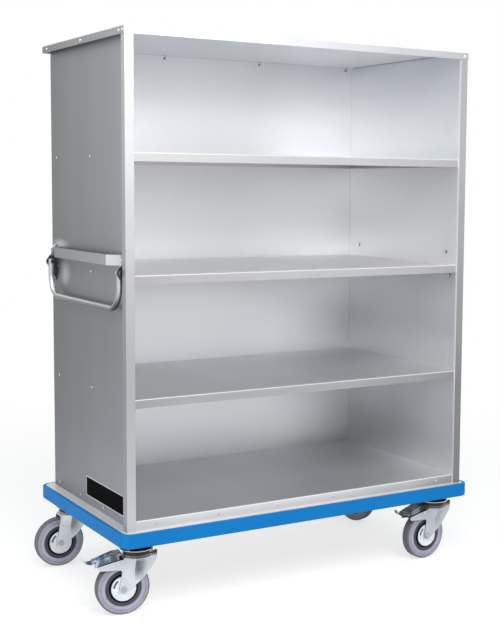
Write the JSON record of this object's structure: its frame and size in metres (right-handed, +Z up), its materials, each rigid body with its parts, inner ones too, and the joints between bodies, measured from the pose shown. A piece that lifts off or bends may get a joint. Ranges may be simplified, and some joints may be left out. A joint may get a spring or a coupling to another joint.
{
  "type": "open-front cabinet trolley",
  "caption": "Tall open-front sheet-metal cabinet with shelves on a wheeled deck, a blue bumper ring, swinging bail handles on both sides, swivel casters and front pedal locks.",
  "frame": {"origin": "on the ground under the middle of the whole outline", "axes": "+X to the right along the cabinet's width, -Y to the open front, +Z up"},
  "size_m": [1.413, 0.7591, 1.808],
  "materials": {
    "bolt": "zinc plated",
    "bumper_plastic": "strong blue, slightly glossy",
    "cabinet_sheet": "natural sheet, satin",
    "caster_zinc": "zinc plated pressed steel",
    "deck_sheet": "natural sheet, satin",
    "disc": "pale grey disc",
    "guard": "natural flat bar, satin",
    "handle_bar": "bright satin bar",
    "handle_bracket": "dark, satin",
    "inner_sheet": "natural pale sheet, satin",
    "pedal": "zinc plated, with a blue sheen",
    "plate": "plain black with a thin pale border",
    "post_sheet": "natural pale folded sheet, satin",
    "rim": "dark grey",
    "rivet": "bright domed heads",
    "rubber": "grey rubber"
  },
  "bodies": {
    "cabinet": {"deck": "deck_sheet", "bumper": "bumper_plastic", "front_caster_rail": "deck_sheet", "rear_caster_rail": "deck_sheet", "caster_bolts": "bolt", "base_angles": "inner_sheet", "left_side_panel": "cabinet_sheet", "right_side_panel": "cabinet_sheet", "left_front_post": "post_sheet", "right_front_post": "post_sheet", "back_panel": "inner_sheet", "rear_header": "inner_sheet", "top_cover": "post_sheet", "lower_shelf": "inner_sheet", "middle_shelf": "inner_sheet", "upper_shelf": "inner_sheet", "floor_tray": "inner_sheet", "cover_rivets": "rivet", "side_rivets": "rivet", "floor_rivets": "rivet", "back_rivets": "rivet", "name_plate": "plate", "left_handle_guard": "guard", "right_handle_guard": "guard", "left_front_handle_bracket": "handle_bracket", "left_rear_handle_bracket": "handle_bracket", "right_front_handle_bracket": "handle_bracket", "right_rear_handle_bracket": "handle_bracket", "bail_pivot_bolts": "bolt", "handle_bolts": "bolt", "front_left_caster_head": "caster_zinc", "front_right_caster_head": "caster_zinc", "rear_left_caster_head": "caster_zinc", "rear_right_caster_head": "caster_zinc"},
    "left_bail": {"left_handle_bail": "handle_bar"},
    "right_bail": {"right_handle_bail": "handle_bar"},
    "front_left_swivel": {"front_left_fork": "caster_zinc", "front_left_axle": "bolt", "front_left_thread_guards": "disc", "front_left_pedal_pin": "bolt"},
    "front_left_wheel": {"front_left_wheel_rim": "rim", "front_left_tyre": "rubber"},
    "front_left_pedal": {"front_left_brake_pedal": "pedal"},
    "front_right_swivel": {"front_right_fork": "caster_zinc", "front_right_axle": "bolt", "front_right_thread_guards": "disc", "front_right_pedal_pin": "bolt"},
    "front_right_wheel": {"front_right_wheel_rim": "rim", "front_right_tyre": "rubber"},
    "front_right_pedal": {"front_right_brake_pedal": "pedal"},
    "rear_left_swivel": {"rear_left_fork": "caster_zinc", "rear_left_axle": "bolt", "rear_left_thread_guards": "disc"},
    "rear_left_wheel": {"rear_left_wheel_rim": "rim", "rear_left_tyre": "rubber"},
    "rear_right_swivel": {"rear_right_fork": "caster_zinc", "rear_right_axle": "bolt", "rear_right_thread_guards": "disc"},
    "rear_right_wheel": {"rear_right_wheel_rim": "rim", "rear_right_tyre": "rubber"}
  },
  "joints": [
    {"name": "left_bail_swing", "type": "hinge", "parent": "cabinet", "child": "left_bail", "pos_m": [-0.60245, 0, 1.077], "axis": [0, 1, 0], "range_deg": [0, 90]},
    {"name": "right_bail_swing", "type": "hinge", "parent": "cabinet", "child": "right_bail", "pos_m": [0.68355, 0, 1.077], "axis": [0, -1, 0], "range_deg": [0, 90]},
    {"name": "front_left_swivel_turn", "type": "hinge", "parent": "cabinet", "child": "front_left_swivel", "pos_m": [-0.53245, -0.255, 0.19], "axis": [0, 0, 1], "continuous": true},
    {"name": "front_left_wheel_spin", "type": "hinge", "parent": "front_left_swivel", "child": "front_left_wheel", "pos_m": [-0.57788, -0.2478, 0.085], "axis": [0.1564, 0.9877, 0], "continuous": true},
    {"name": "front_left_pedal_press", "type": "hinge", "parent": "front_left_swivel", "child": "front_left_pedal", "pos_m": [-0.59764, -0.24468, 0.172], "axis": [-0.1564, -0.9877, 0], "range_deg": [0, 12]},
    {"name": "front_right_swivel_turn", "type": "hinge", "parent": "cabinet", "child": "front_right_swivel", "pos_m": [0.63655, -0.255, 0.19], "axis": [0, 0, 1], "continuous": true},
    {"name": "front_right_wheel_spin", "type": "hinge", "parent": "front_right_swivel", "child": "front_right_wheel", "pos_m": [0.59066, -0.25821, 0.085], "axis": [-0.0698, 0.9976, 0], "continuous": true},
    {"name": "front_right_pedal_press", "type": "hinge", "parent": "front_right_swivel", "child": "front_right_pedal", "pos_m": [0.57071, -0.2596, 0.172], "axis": [0.0698, -0.9976, 0], "range_deg": [0, 12]},
    {"name": "rear_left_swivel_turn", "type": "hinge", "parent": "cabinet", "child": "rear_left_swivel", "pos_m": [-0.53245, 0.318, 0.19], "axis": [0, 0, 1], "continuous": true},
    {"name": "rear_left_wheel_spin", "type": "hinge", "parent": "rear_left_swivel", "child": "rear_left_wheel", "pos_m": [-0.57842, 0.3196, 0.085], "axis": [0.0349, 0.9994, 0], "continuous": true},
    {"name": "rear_right_swivel_turn", "type": "hinge", "parent": "cabinet", "child": "rear_right_swivel", "pos_m": [0.63655, 0.318, 0.19], "axis": [0, 0, 1], "continuous": true},
    {"name": "rear_right_wheel_spin", "type": "hinge", "parent": "rear_right_swivel", "child": "rear_right_wheel", "pos_m": [0.65228, 0.27477, 0.085], "axis": [-0.9397, -0.342, 0], "continuous": true}
  ]
}
